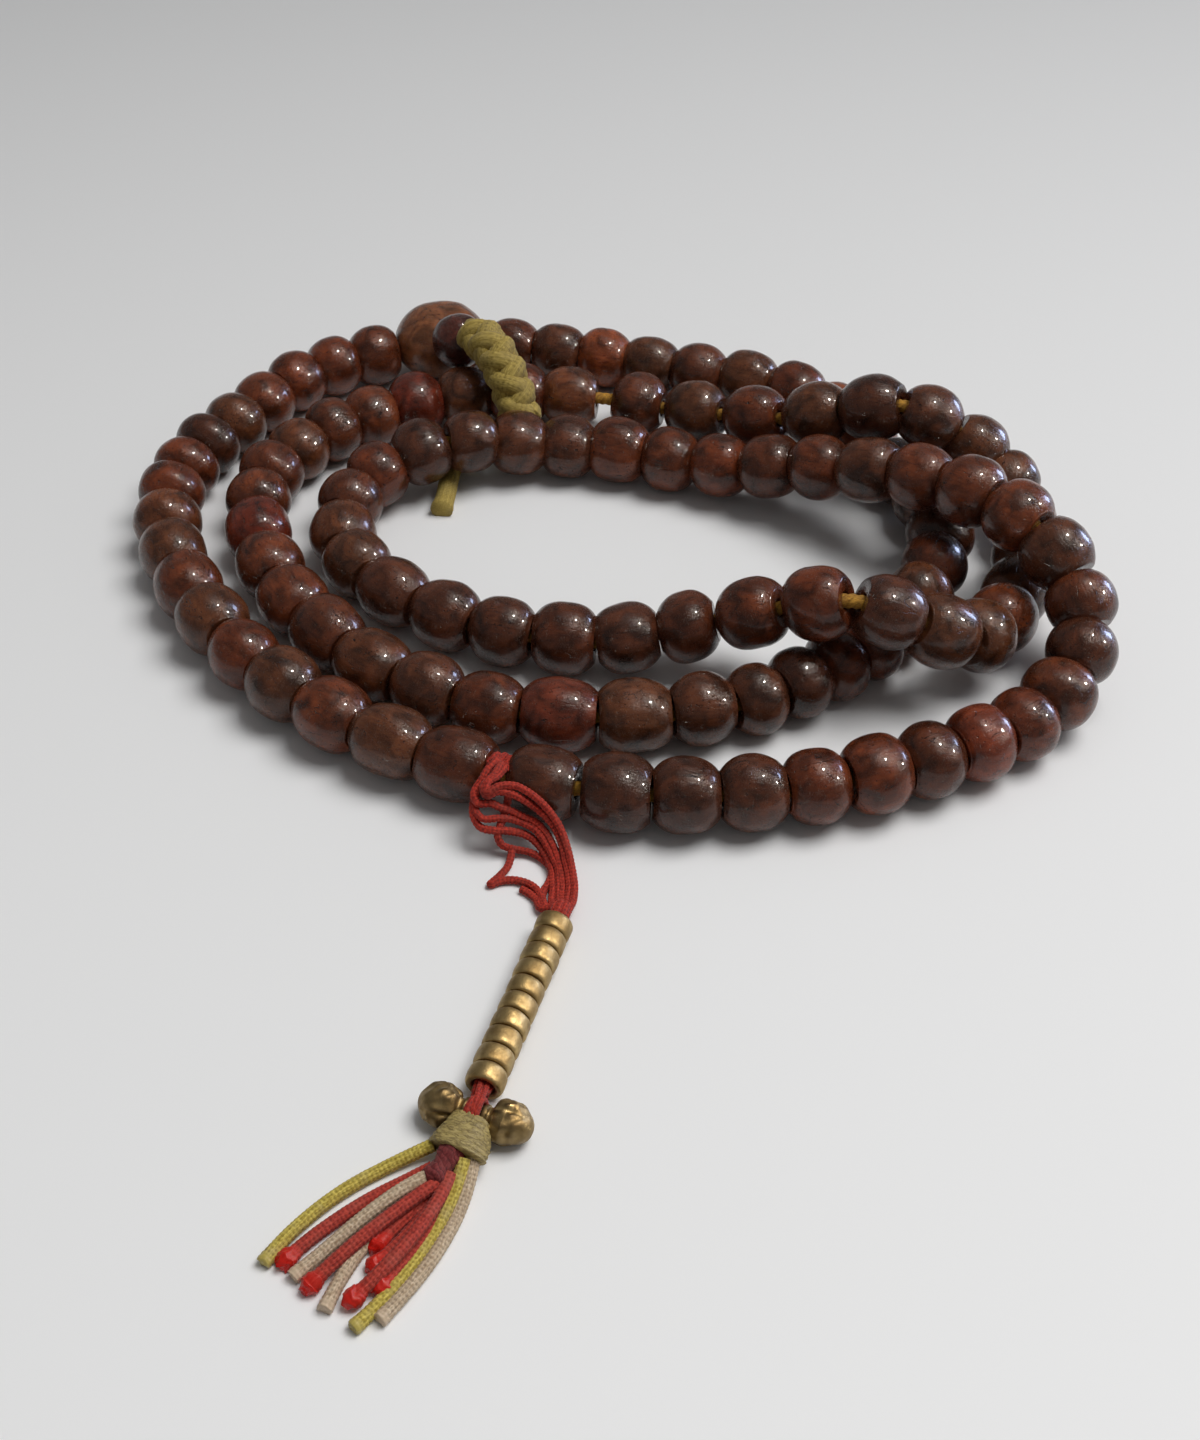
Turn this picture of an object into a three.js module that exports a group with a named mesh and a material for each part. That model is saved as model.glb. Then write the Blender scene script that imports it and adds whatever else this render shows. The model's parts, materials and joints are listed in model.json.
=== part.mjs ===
// Mala prayer beads: a strand of 108 beads laid in three loose laps, with its guru bead, and a
// counter tied to it: ten brass rings, a small brass vajra and a tassel of coloured cords.
// Millimetres, +Z up. The strand lies on z = 0 and the origin is under the middle of it.
import * as THREE from 'three';

// ---- Driving dimensions ----
const CENTRE = [-0.16, -30.75, 0];     // from the middle of the object to the zero of the routes
const BEAD_R = 5;                     // half of a bead's thickness across its flat facets
const BEAD_END_R = 3.2;               // flat end of a bead
const SHOULDER = 0.21;                // where a bead's end rounds into its belly, share of length
const BORE_R = 1.6;
const BEAD_SIDES = 8;
const END_GAP = 0.2;                  // from the end of a run to the middle of the gap after it
const STRING_R = 1;
const CORD_SIDES = 8;
const GURU = { at: [-27.2, 108.6, 6.5], r: 7.5, half: 6.4 };
const NECK = { at: [-23.3, 98.5, 11.4], r: 4.3, half: 3.9, bore: 1 };
const BRAID_R = 3;
const TAIL_R = 1.2;
const RING = { r: 2.2, bore: 1.25, length: 2.3, edge: 0.35 };
const RING_COUNT = 10;
const RING_PITCH = 2.48;
const STACK_TOP = [-5.5, -19.9, 2.2];  // centre of the ring nearest the strand
const STACK_RUN = [-6.8, -21.3, 0];    // direction of the stack, away from the strand
const CARRIER_R = 0.85;                // the bundle of red strands
const LOOP_R = 0.5;                    // one red strand
const VAJRA = { at: [-13.2, -45.6, 2.3], along: [8, -2.7, 0], half: 6.5, lobe: 2.25, waist: 1.1 };
const LASHING = { inner: 1.35, outer: 2, half: 1 };
const WRAP = { top: [-14.2, -48.3, 2.3], run: [-0.5, -3.2, 0], r0: 1.7, r1: 2.3 };
const CORE = { at: [-17.1, -53.3, 1.9], size: [1.6, 1.3, 1.75] };
const TASSEL_R = 0.57;
const LOW = 0.7;                       // height of a tassel cord that lies on the table
const HIGH = 2.1;                      // and of one that lies on other cords

// ---- The strand's route: number of beads passed, then x, y, z ----
const ROUTE = [
  [0, -34.8, 106, 5], [2, -48, 99.5, 5], [4, -57, 87, 5], [8, -65.5, 61, 5],
  [12, -51.5, 30, 5], [16, -22.5, 7, 5], [18, -2.5, 0.5, 5], [20, 15, -0.5, 5],
  [24, 45.5, 7, 5], [26, 58, 14.5, 5], [28, 66, 27, 9], [30, 60.5, 39.5, 16.2],
  [32, 49.5, 51.5, 16], [34, 36.5, 61.5, 11.5], [37, 15, 72, 5], [40, -9, 77.5, 5],
  [42, -24, 73.8, 7.8], [44, -37, 66, 5], [46, -37.5, 50, 5], [49, -17.5, 32.5, 5],
  [51, -0.5, 29, 5], [53, 16.5, 29.5, 8.5], [55, 33, 23, 17], [57, 49, 24, 9.5],
  [59, 57.5, 36.5, 5], [61, 63, 52, 5], [63, 60, 66, 9.2], [65, 45.5, 69.5, 17.2],
  [67, 29, 77.3, 10], [69, 11, 88, 5], [71, -9, 92.5, 5], [75, -40, 84, 5],
  [78, -52, 66.5, 5], [81, -46, 42, 5], [85, -19, 17, 5], [89, 17.5, 16, 5],
  [91, 29.5, 22.5, 5], [93, 39.5, 30.5, 5], [95, 47, 42.5, 5], [97, 51, 58, 5],
  [99, 44, 74, 5], [101, 35.5, 89, 6], [104, 12.5, 100.5, 5], [108, -18.9, 108.3, 5],
];
const BEAD_COUNT = ROUTE[ROUTE.length - 1][0];
// Bare string between two beads, as a share of the pitch on each side of the gap.
const SLACK = { 17: 0.13, 18: 0.03, 53: 0.05, 54: 0.05, 55: 0.09, 67: 0.055, 68: 0.055, 69: 0.05, 70: 0.13 };
// Beads that are free on the string beside that slack, and the runs packed tight between them.
const LOOSE_BEADS = [18, 54, 55, 56, 68, 69, 70, 71];
const RUNS = [
  [1, 4], [5, 8], [9, 12], [13, 17],
  [19, 23], [24, 29], [30, 33], [34, 38], [39, 43], [44, 48], [49, 53],
  [57, 61], [62, 67],
  [72, 76], [77, 81], [82, 86], [87, 91], [92, 96], [97, 102], [103, 108],
];

// ---- Routes of the free cords, x, y, z of each cord's middle ----
const BRAID_ROUTE = [[-20.2, 95.4, 13.9], [-18, 92.2, 14.5], [-15.8, 88.6, 13], [-14.2, 85.8, 10.6],
  [-13.4, 84.4, 8.4]];
const TAIL_ROUTE = [[-13.3, 84.2, 6.4], [-14.2, 83.6, 3.2], [-17.4, 83.2, 1.3], [-21.4, 80.6, 1.25],
  [-23.5, 76.4, 1.25], [-23.9, 72.6, 1.25], [-24.1, 69, 1.25], [-24.5, 65.2, 1.25]];
const HITCH_ROUTE = [[-4.2, -14.6, 2.3], [-3.4, -10.5, 2.2], [-4.2, -5.6, 2.2], [-8, -4.4, 2.4],
  [-11.5, -4, 3.6], [-14.1, -1.9, 7.2], [-13.3, 1.2, 10.6], [-12.2, 4.4, 10.6], [-12, 7, 7.4]];
const LOOP_ROUTE = [[-10.4, -7, 0.8], [-11.6, -9.6, 0.6], [-13.2, -11.5, 0.6],
  [-10.8, -12.3, 0.6], [-8.4, -11.9, 0.6], [-6.3, -12.8, 0.8]];
const TASSEL = {
  tassel_yellow_left: [[-19.2, -49.4, 1.6], [-21.6, -50.6, LOW], [-24.8, -52.8, LOW],
    [-28.2, -55.4, LOW], [-31, -58.4, LOW], [-33.6, -62, LOW]],
  tassel_red_left: [[-19.4, -52.6, LOW], [-22, -53.9, LOW], [-25.3, -56, LOW], [-28.8, -58.9, LOW],
    [-31.9, -62.5, LOW]],
  tassel_beige_left: [[-18.9, -54.4, HIGH], [-21.4, -55.2, HIGH], [-24, -57.4, 1.9],
    [-27, -60.3, LOW], [-30.5, -63.6, LOW]],
  tassel_red_centre: [[-17.4, -55.2, HIGH], [-20.4, -56.6, HIGH], [-23.4, -59.4, HIGH],
    [-26.2, -62.2, 1.6], [-29.1, -65.2, LOW]],
  tassel_beige_under: [[-19.2, -54.6, LOW], [-22, -56.9, LOW], [-23.9, -60.4, LOW],
    [-25.3, -63.6, LOW], [-27, -67, LOW]],
  tassel_red_under: [[-18, -55.3, LOW], [-20.1, -57, LOW], [-22, -59.2, LOW], [-22.9, -60.7, LOW]],
  tassel_red_short: [[-16.8, -55.4, LOW], [-18.6, -57.8, LOW], [-20.9, -60.4, LOW],
    [-22.9, -63.1, LOW]],
  tassel_red_middle: [[-16, -55.1, HIGH], [-17.8, -58.2, HIGH], [-19.8, -61.2, HIGH],
    [-22, -64.2, 1.7], [-24.9, -66.6, LOW]],
  tassel_red_right: [[-15.1, -53.4, LOW], [-16.4, -57, LOW], [-18.3, -60.4, LOW],
    [-20.3, -63.1, LOW], [-22.2, -65.4, LOW]],
  tassel_yellow_right: [[-14.2, -52.3, 2.4], [-14.4, -55, LOW], [-15.6, -58.8, LOW],
    [-17.9, -62.8, LOW], [-20.4, -66.2, LOW], [-22.4, -69.1, LOW]],
  tassel_beige_right: [[-12.6, -52, LOW], [-13.1, -55, LOW], [-14.2, -58.9, LOW],
    [-16.3, -63, LOW], [-19.6, -68.2, LOW]],
};

// ---- Materials ----
const finish = (color, roughness, metalness = 0) =>
  new THREE.MeshStandardMaterial({ color, roughness, metalness });
const beadWood = () => finish('#5a2f24', 0.28);
const guruWood = () => finish('#6b4436', 0.35);
const neckWood = () => finish('#3a1714', 0.3);
const goldenString = () => finish('#c8871e', 0.75);
const yellowCotton = () => finish('#b89a3a', 0.85);
const agedBrass = () => finish('#a5854a', 0.4, 0.9);
const redCord = () => finish('#a8332a', 0.85);
const beigeCord = () => finish('#b59c78', 0.85);
const waxedWrap = () => finish('#9a8445', 0.6);
const maroonCore = () => finish('#5c2420', 0.7);
const tasselFinish = (name) => {
  if (name.includes('yellow')) return yellowCotton();
  return name.includes('beige') ? beigeCord() : redCord();
};

// ---- Helpers ----
const vec = (p) => new THREE.Vector3(...p);

function named(name, geometry, material) {
  const mesh = new THREE.Mesh(geometry, material);
  mesh.name = name;
  return mesh;
}

// Turns the Y axis of a lathe to a direction and puts its middle at a point.
function aimed(mesh, at, direction) {
  mesh.quaternion.setFromUnitVectors(new THREE.Vector3(0, 1, 0), vec(direction).normalize());
  mesh.position.copy(vec(at));
  return mesh;
}

function lathe(outline, sides) {
  return new THREE.LatheGeometry(outline.map(([r, y]) => new THREE.Vector2(r, y)), sides);
}

function tube(curve, radius, steps, sides = CORD_SIDES) {
  const section = new THREE.Shape().absarc(0, 0, radius, 0, 2 * Math.PI);
  return new THREE.ExtrudeGeometry(section, {
    steps, curveSegments: sides / 2, extrudePath: curve, bevelEnabled: false,
  });
}

const cordCurve = (points) => new THREE.CatmullRomCurve3(points.map(vec), false, 'catmullrom', 0.5);

// ---- The strand ----
// A smooth curve through the route whose parameter is the number of beads passed.
function slopeAt(i) {
  const last = ROUTE.length - 1;
  const before = ROUTE[Math.max(i - 1, 0)];
  const here = ROUTE[i];
  const after = ROUTE[Math.min(i + 1, last)];
  const back = here[0] - before[0];
  const ahead = after[0] - here[0];
  return [1, 2, 3].map((axis) => {
    const slopeBack = back ? (here[axis] - before[axis]) / back : 0;
    const slopeAhead = ahead ? (after[axis] - here[axis]) / ahead : 0;
    if (!back) return slopeAhead;
    if (!ahead) return slopeBack;
    return (slopeAhead * back + slopeBack * ahead) / (back + ahead);
  });
}

function strandPoint(beads) {
  let i = 0;
  while (i < ROUTE.length - 2 && ROUTE[i + 1][0] <= beads) i += 1;
  const span = ROUTE[i + 1][0] - ROUTE[i][0];
  const t = (beads - ROUTE[i][0]) / span;
  const from = slopeAt(i);
  const to = slopeAt(i + 1);
  const place = [0, 1, 2].map((axis) =>
    ROUTE[i][axis + 1] * (2 * t ** 3 - 3 * t ** 2 + 1)
    + from[axis] * span * (t ** 3 - 2 * t ** 2 + t)
    + ROUTE[i + 1][axis + 1] * (3 * t ** 2 - 2 * t ** 3)
    + to[axis] * span * (t ** 3 - t ** 2));
  place[2] = Math.max(place[2], BEAD_R);
  return vec(place);
}

const beadStart = (bead) => strandPoint(bead - 1 + (SLACK[bead - 1] ?? 0));
const beadEnd = (bead) => strandPoint(bead - (SLACK[bead] ?? 0));

// The string is straight through each bead and turns only between beads.
class StringPath extends THREE.Curve {
  constructor(points) {
    super();
    this.points = points;
  }

  getPoint(t) {
    const place = t * (this.points.length - 1);
    const i = Math.min(Math.floor(place), this.points.length - 2);
    return this.points[i].clone().lerp(this.points[i + 1], place - i);
  }

  getUtoTmapping(u) {
    return u;
  }
}

function stringPoints() {
  const points = [];
  for (let bead = 1; bead <= BEAD_COUNT; bead += 1) {
    points.push(beadStart(bead));
    if (bead === BEAD_COUNT || SLACK[bead]) points.push(beadEnd(bead));
  }
  return points;
}

function mainString() {
  const points = stringPoints();
  const geometry = tube(new StringPath(points), STRING_R, points.length - 1);
  return named('main_string', geometry, goldenString());
}

// Outline of a run of beads in bead lengths: the beads' backs, then the bore, closed on itself.
function runOutline(count) {
  const outline = [[BORE_R, 0]];
  for (let i = 0; i < count; i += 1) {
    outline.push([BEAD_END_R, i], [BEAD_R, i + SHOULDER], [BEAD_R, i + 1 - SHOULDER]);
  }
  outline.push([BEAD_END_R, count]);
  for (let i = count; i >= 0; i -= 1) outline.push([BORE_R, i]);
  const widen = 1 / Math.cos(Math.PI / BEAD_SIDES);
  return outline.map(([r, y]) => [r * widen, y]);
}

// The directions across the string: one level, one upward.
function across(along) {
  const side = along.clone().cross(new THREE.Vector3(0, 0, 1)).normalize();
  return { side, up: side.clone().cross(along).normalize() };
}

const beadAxis = (bead) => beadEnd(bead).sub(beadStart(bead)).normalize();

// Halfway between the axes of the beads on both sides of a gap in the strand.
function gapAxis(gap) {
  const axis = beadAxis(Math.max(gap, 1));
  return axis.add(beadAxis(Math.min(gap + 1, BEAD_COUNT))).normalize();
}

// Bends a straight run of beads along the strand, each bead straight on its stretch of string.
function beadRun(name, first, last) {
  const count = last - first + 1;
  const geometry = lathe(runOutline(count), BEAD_SIDES);
  geometry.rotateY(Math.PI / BEAD_SIDES);
  const position = geometry.attributes.position;
  for (let i = 0; i < position.count; i += 1) {
    const place = position.getY(i);
    const bead = first + Math.min(Math.floor(place), count - 1);
    const share = place - (bead - first);
    const along = Number.isInteger(place) ? gapAxis(first - 1 + place) : beadAxis(bead);
    const { side, up } = across(along);
    const centre = beadStart(bead).lerp(beadEnd(bead), share);
    if (place === 0) centre.addScaledVector(along, END_GAP);
    if (place === count) centre.addScaledVector(along, -END_GAP);
    centre.addScaledVector(side, position.getX(i)).addScaledVector(up, position.getZ(i));
    position.setXYZ(i, centre.x, centre.y, centre.z);
  }
  return named(name, geometry, beadWood());
}

const beadNumber = (bead) => String(bead).padStart(3, '0');

function beads() {
  const runs = RUNS.map(([first, last]) =>
    beadRun(`beads_${beadNumber(first)}_to_${beadNumber(last)}`, first, last));
  const loose = LOOSE_BEADS.map((bead) => beadRun(`bead_${beadNumber(bead)}`, bead, bead));
  return [...runs, ...loose];
}

function guruBead() {
  const { at, r, half } = GURU;
  const ball = new THREE.SphereGeometry(1, 16, 12);
  ball.rotateX(Math.PI / 2);
  ball.scale(r, r, half);
  const mesh = named('guru_bead', ball, guruWood());
  mesh.position.copy(vec(at));
  return mesh;
}

function neckBead() {
  const { at, r, half, bore } = NECK;
  const outline = [[bore, -half], [r * 0.6, -half], [r, -half * 0.45], [r, half * 0.45],
    [r * 0.6, half], [bore, half], [bore, -half]];
  const mesh = named('neck_bead', lathe(outline, 12), neckWood());
  const braidStart = vec(BRAID_ROUTE[0]);
  return aimed(mesh, at, braidStart.sub(vec(at)).toArray());
}

const braid = () => named('string_braid', tube(cordCurve(BRAID_ROUTE), BRAID_R, 6, 12), yellowCotton());
const tail = () => named('string_tail', tube(cordCurve(TAIL_ROUTE), TAIL_R, 9), yellowCotton());

// ---- The counter ----
const stackDirection = vec(STACK_RUN).normalize();
const alongStack = (distance) => vec(STACK_TOP).addScaledVector(stackDirection, distance);

function counterRing(index) {
  const { r, bore, length, edge } = RING;
  const half = length / 2;
  const outline = [[bore, -half + edge], [bore + edge, -half], [r - edge, -half], [r, -half + edge],
    [r, half - edge], [r - edge, half], [bore + edge, half], [bore, half - edge],
    [bore, -half + edge]];
  const name = `counter_ring_${String(index + 1).padStart(2, '0')}`;
  const mesh = named(name, lathe(outline, 12), agedBrass());
  return aimed(mesh, alongStack(index * RING_PITCH).toArray(), STACK_RUN);
}

// Hitched over the string, gathered on one side and led straight through all ten rings.
function carrierCord() {
  const bottom = alongStack((RING_COUNT - 0.5) * RING_PITCH).toArray();
  const middle = alongStack(RING_COUNT * RING_PITCH / 2).toArray();
  const top = alongStack(-RING_PITCH).toArray();
  const route = [bottom, middle, top, ...HITCH_ROUTE];
  return named('carrier_cord', tube(cordCurve(route), CARRIER_R, 24), redCord());
}

const looseLoop = () => named('carrier_loose_loop', tube(cordCurve(LOOP_ROUTE), LOOP_R, 8), redCord());

function vajra() {
  const { at, along, half, lobe, waist } = VAJRA;
  const side = [[0.3, half], [lobe * 0.62, half * 0.93], [lobe, half * 0.7], [lobe, half * 0.5],
    [lobe * 0.8, half * 0.36], [waist * 1.2, half * 0.28], [waist, half * 0.15]];
  const mirrored = side.map(([r, y]) => [r, -y]);
  const outline = [[0, -half], ...mirrored, ...side.reverse(), [0, half]];
  return aimed(named('vajra', lathe(outline, 14), agedBrass()), at, along);
}

function lashing() {
  const { inner, outer, half } = LASHING;
  const outline = [[inner, -half], [outer - 0.3, -half], [outer, -half + 0.4], [outer, half - 0.4],
    [outer - 0.3, half], [inner, half], [inner, -half]];
  return aimed(named('vajra_lashing', lathe(outline, 14), redCord()), VAJRA.at, VAJRA.along);
}

function wrap() {
  const { top, run, r0, r1 } = WRAP;
  const half = vec(run).length() / 2;
  const outline = [[0, -half], [r0 - 0.3, -half], [r0, -half + 0.4], [r1, half - 0.3],
    [r1 - 0.2, half], [0, half]];
  const middle = vec(top).addScaledVector(vec(run), 0.5).toArray();
  return aimed(named('tassel_wrap', lathe(outline, 14), waxedWrap()), middle, run);
}

function core() {
  const ball = new THREE.SphereGeometry(1, 12, 8);
  ball.scale(...CORE.size);
  const mesh = named('tassel_core', ball, maroonCore());
  mesh.position.copy(vec(CORE.at));
  return mesh;
}

const tasselCords = () => Object.entries(TASSEL).map(([name, route]) =>
  named(name, tube(cordCurve(route), TASSEL_R, 7), tasselFinish(name)));

// ---- The object ----
const mala = new THREE.Group();
mala.position.set(CENTRE[0], CENTRE[1], CENTRE[2]);
mala.add(mainString(), ...beads(), guruBead(), neckBead(), braid(), tail());
for (let index = 0; index < RING_COUNT; index += 1) mala.add(counterRing(index));
mala.add(carrierCord(), looseLoop(), vajra(), lashing(), wrap(), core(), ...tasselCords());

export default mala;
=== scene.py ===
import json
import math
import bpy
import numpy as np
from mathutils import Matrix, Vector

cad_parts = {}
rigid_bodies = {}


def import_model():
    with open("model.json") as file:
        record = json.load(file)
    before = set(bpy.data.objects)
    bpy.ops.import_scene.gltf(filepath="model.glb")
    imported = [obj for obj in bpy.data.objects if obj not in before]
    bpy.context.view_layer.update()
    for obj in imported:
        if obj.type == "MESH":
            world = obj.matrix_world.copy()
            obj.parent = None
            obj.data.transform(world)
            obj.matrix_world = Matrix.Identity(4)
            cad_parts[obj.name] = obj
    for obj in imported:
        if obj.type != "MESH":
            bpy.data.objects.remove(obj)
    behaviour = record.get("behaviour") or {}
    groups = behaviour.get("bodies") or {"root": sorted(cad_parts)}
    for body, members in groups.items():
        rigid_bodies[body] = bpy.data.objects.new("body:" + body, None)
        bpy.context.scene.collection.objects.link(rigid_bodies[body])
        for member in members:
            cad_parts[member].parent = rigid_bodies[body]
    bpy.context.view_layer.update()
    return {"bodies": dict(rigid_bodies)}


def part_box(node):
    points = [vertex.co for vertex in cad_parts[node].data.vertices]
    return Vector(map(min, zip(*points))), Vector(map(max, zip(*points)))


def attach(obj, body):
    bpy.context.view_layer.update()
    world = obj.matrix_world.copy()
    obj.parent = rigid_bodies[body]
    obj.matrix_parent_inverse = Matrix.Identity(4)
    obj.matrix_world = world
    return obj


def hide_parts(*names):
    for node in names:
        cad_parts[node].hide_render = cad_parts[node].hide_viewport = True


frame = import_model()

# Mala of 108 turned wooden beads with a counter string, lying in three turns on a pale floor.
# Lengths are in metres. ORIGIN takes a point of the listed routes to the CAD frame.

# ---- Sizes ----
MM = 0.001
GURU_MIDDLE = np.array((-0.0272, 0.1086))
GURU_RADIUS = 0.0078
GURU_HALF = 0.0058
NECK_RADIUS = 0.0043
NECK_HALF = 0.0039
BEAD_COUNT = 108
BEAD_RADIUS = (0.00485, 0.0051)
BEAD_FACE = (0.0029, 0.0035)
EDGE_ROUND = 0.00014
LOOSE_CLEARANCE = 0.00014
SLIDING_BEADS = (53, 54, 67, 68, 69, 70)
HITCH_BEADS = (17, 18, 19)
BEAD_BORE = 0.00125
BEAD_GAP = 0.0001
FLOOR_BEAD_HEIGHT = 0.00501
STRING_RADIUS = 0.001
CORD_RADIUS = 0.00047
CORD_IN_BORE = 0.00034
BORE_CIRCLE = 0.00078
TASSEL_RADIUS = 0.00072
TAIL_RADIUS = 0.0015
BRAID_STRAND = 0.00172
BRAID_CIRCLE = 0.00165
BRAID_WEAVE = 0.00022
BRAID_PERIOD = 0.0074
RING_RADIUS = 0.0022
RING_BORE = 0.00125
RING_LENGTH = 0.00236
STACK_TOP = np.array((-0.0055, -0.0199, 0.0022))
STACK_RUN = np.array((-0.0068, -0.0213, 0.0))
VAJRA_MIDDLE = np.array((-0.0132, -0.0456, 0.0023))
VAJRA_ALONG = np.array((0.008, -0.0027, 0.0))
VAJRA_STEP = 0.00006
STRANDS_IN_BORE = 7
RINGS_PASSED = (-0.145, -0.05, 0.25, 0.5, 0.75, 1.04)
LASHING_TURNS = 3
LASHING_STEPS = 48
LASHING_REACH = 0.00162
LASHING_WAVER = 0.00012
LASHING_WIDTH = 0.0015
WRAP_RADIUS = 0.0022
WRAP_FLARE = 0.00115
WRAP_PITCH = 0.00062
WRAP_ROUTE = [
    (-0.0133, -0.0466, 0.0024), (-0.0137, -0.0474, 0.0025), (-0.0143, -0.0488, 0.0024),
    (-0.0150, -0.0504, 0.0022),
]
CORE_ROUTE = [
    (-0.0151, -0.0499, 0.0024), (-0.0159, -0.0513, 0.0024), (-0.0167, -0.0526, 0.0022),
    (-0.0174, -0.0537, 0.0019),
]
TASSEL_ROOT = np.array((-0.0148, -0.0496, 0.0022))
CORE_RADIUS = 0.00135
NECK_FACE = 0.0027
ABOVE_FLOOR = 0.00005
SPREAD_OF_LAY = 300
SLACK = {17: 0.13, 18: 0.03, 53: 0.05, 54: 0.05, 55: 0.09, 67: 0.055, 68: 0.055, 69: 0.05, 70: 0.13}
LOOSE_BEADS = (18, 54, 55, 56, 68, 69, 70, 71)
RUNS = (
    (1, 4), (5, 8), (9, 12), (13, 17), (19, 23), (24, 29), (30, 33), (34, 38), (39, 43), (44, 48),
    (49, 53), (57, 61), (62, 67), (72, 76), (77, 81), (82, 86), (87, 91), (92, 96), (97, 102), (103, 108),
)

# ---- Routes: beads passed and the string's middle there, then the middle lines of the free cords ----
ROUTE = [
    (0, -0.0348, 0.106, 0.005), (2, -0.048, 0.0995, 0.005), (4, -0.057, 0.087, 0.005),
    (8, -0.0655, 0.061, 0.005), (12, -0.0515, 0.03, 0.005), (16, -0.0225, 0.007, 0.005),
    (18, -0.0025, 0.0005, 0.005), (20, 0.015, -0.0005, 0.005), (24, 0.0455, 0.007, 0.005),
    (26, 0.058, 0.0145, 0.005), (28, 0.066, 0.027, 0.009), (30, 0.0605, 0.0395, 0.0162),
    (32, 0.0495, 0.0515, 0.016), (34, 0.0365, 0.0615, 0.0115), (37, 0.015, 0.072, 0.005),
    (40, -0.009, 0.0775, 0.005), (42, -0.024, 0.0738, 0.0078), (44, -0.037, 0.066, 0.005),
    (46, -0.0375, 0.05, 0.005), (49, -0.0175, 0.0325, 0.005), (51, -0.0005, 0.029, 0.005),
    (53, 0.0165, 0.0295, 0.0085), (55, 0.033, 0.023, 0.017), (57, 0.049, 0.024, 0.0095),
    (59, 0.0575, 0.0365, 0.005), (61, 0.063, 0.052, 0.005), (63, 0.06, 0.066, 0.0092),
    (65, 0.0455, 0.0695, 0.0172), (67, 0.029, 0.0773, 0.01), (69, 0.011, 0.088, 0.005),
    (71, -0.009, 0.0925, 0.005), (75, -0.04, 0.084, 0.005), (78, -0.052, 0.0665, 0.005),
    (81, -0.046, 0.042, 0.005), (85, -0.019, 0.017, 0.005), (89, 0.0175, 0.016, 0.005),
    (91, 0.0295, 0.0225, 0.005), (93, 0.0395, 0.0305, 0.005), (95, 0.047, 0.0425, 0.005),
    (97, 0.051, 0.058, 0.005), (99, 0.044, 0.074, 0.005), (101, 0.0355, 0.089, 0.006),
    (104, 0.0125, 0.1005, 0.005), (108, -0.0189, 0.1083, 0.005),
]
BRAID_ROUTE = [
    (-0.0202, 0.0954, 0.0139), (-0.018, 0.0922, 0.0145), (-0.0158, 0.0886, 0.013),
    (-0.0142, 0.0858, 0.0106), (-0.0134, 0.0844, 0.0084), (-0.0128, 0.0832, 0.0062),
]
TAIL_ROUTE = [
    (-0.0133, 0.0842, 0.0064), (-0.0142, 0.0836, 0.0032), (-0.0174, 0.0832, 0.0013),
    (-0.0214, 0.0806, 0.00125), (-0.0235, 0.0764, 0.00125), (-0.0239, 0.0726, 0.00125),
    (-0.0241, 0.069, 0.00125), (-0.0245, 0.0652, 0.00125),
]
TASSEL = {
    "tassel_yellow_left": [
        (-0.0192, -0.0494, 0.0016), (-0.0216, -0.0506, 0.0007), (-0.0248, -0.0528, 0.0007),
        (-0.0282, -0.0554, 0.0007), (-0.031, -0.0584, 0.0007), (-0.0336, -0.062, 0.0007),
    ],
    "tassel_red_left": [
        (-0.0194, -0.0526, 0.0007), (-0.022, -0.0539, 0.0007), (-0.0253, -0.056, 0.0007),
        (-0.0288, -0.0589, 0.0007), (-0.0319, -0.0625, 0.0007),
    ],
    "tassel_beige_left": [
        (-0.0189, -0.0544, 0.0021), (-0.0214, -0.0552, 0.0021), (-0.024, -0.0574, 0.0019),
        (-0.027, -0.0603, 0.0007), (-0.0305, -0.0636, 0.0007),
    ],
    "tassel_red_centre": [
        (-0.0174, -0.0552, 0.0021), (-0.0204, -0.0566, 0.0021), (-0.0234, -0.0594, 0.0021),
        (-0.0262, -0.0622, 0.0016), (-0.0291, -0.0652, 0.0007),
    ],
    "tassel_beige_under": [
        (-0.0192, -0.0546, 0.0007), (-0.022, -0.0569, 0.0007), (-0.0239, -0.0604, 0.0007),
        (-0.0253, -0.0636, 0.0007), (-0.027, -0.067, 0.0007),
    ],
    "tassel_red_under": [
        (-0.018, -0.0553, 0.0007), (-0.0201, -0.057, 0.0007), (-0.022, -0.0592, 0.0007),
        (-0.0229, -0.0607, 0.0007),
    ],
    "tassel_red_short": [
        (-0.0168, -0.0554, 0.0007), (-0.0186, -0.0578, 0.0007), (-0.0209, -0.0604, 0.0007),
        (-0.0229, -0.0631, 0.0007),
    ],
    "tassel_red_middle": [
        (-0.016, -0.0551, 0.0021), (-0.0178, -0.0582, 0.0021), (-0.0198, -0.0612, 0.0021),
        (-0.022, -0.0642, 0.0017), (-0.0249, -0.0666, 0.0007),
    ],
    "tassel_red_right": [
        (-0.0151, -0.0534, 0.0007), (-0.0164, -0.057, 0.0007), (-0.0183, -0.0604, 0.0007),
        (-0.0203, -0.0631, 0.0007), (-0.0222, -0.0654, 0.0007),
    ],
    "tassel_yellow_right": [
        (-0.0142, -0.0523, 0.0024), (-0.0148, -0.055, 0.0012), (-0.0165, -0.0588, 0.0007),
        (-0.0192, -0.0628, 0.0007), (-0.0218, -0.0662, 0.0007), (-0.0237, -0.0691, 0.0007),
    ],
    "tassel_beige_right": [
        (-0.0129, -0.052, 0.0018), (-0.0137, -0.055, 0.0008), (-0.0154, -0.0589, 0.0007),
        (-0.018, -0.063, 0.0007), (-0.0213, -0.0682, 0.0007),
    ],
}

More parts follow.
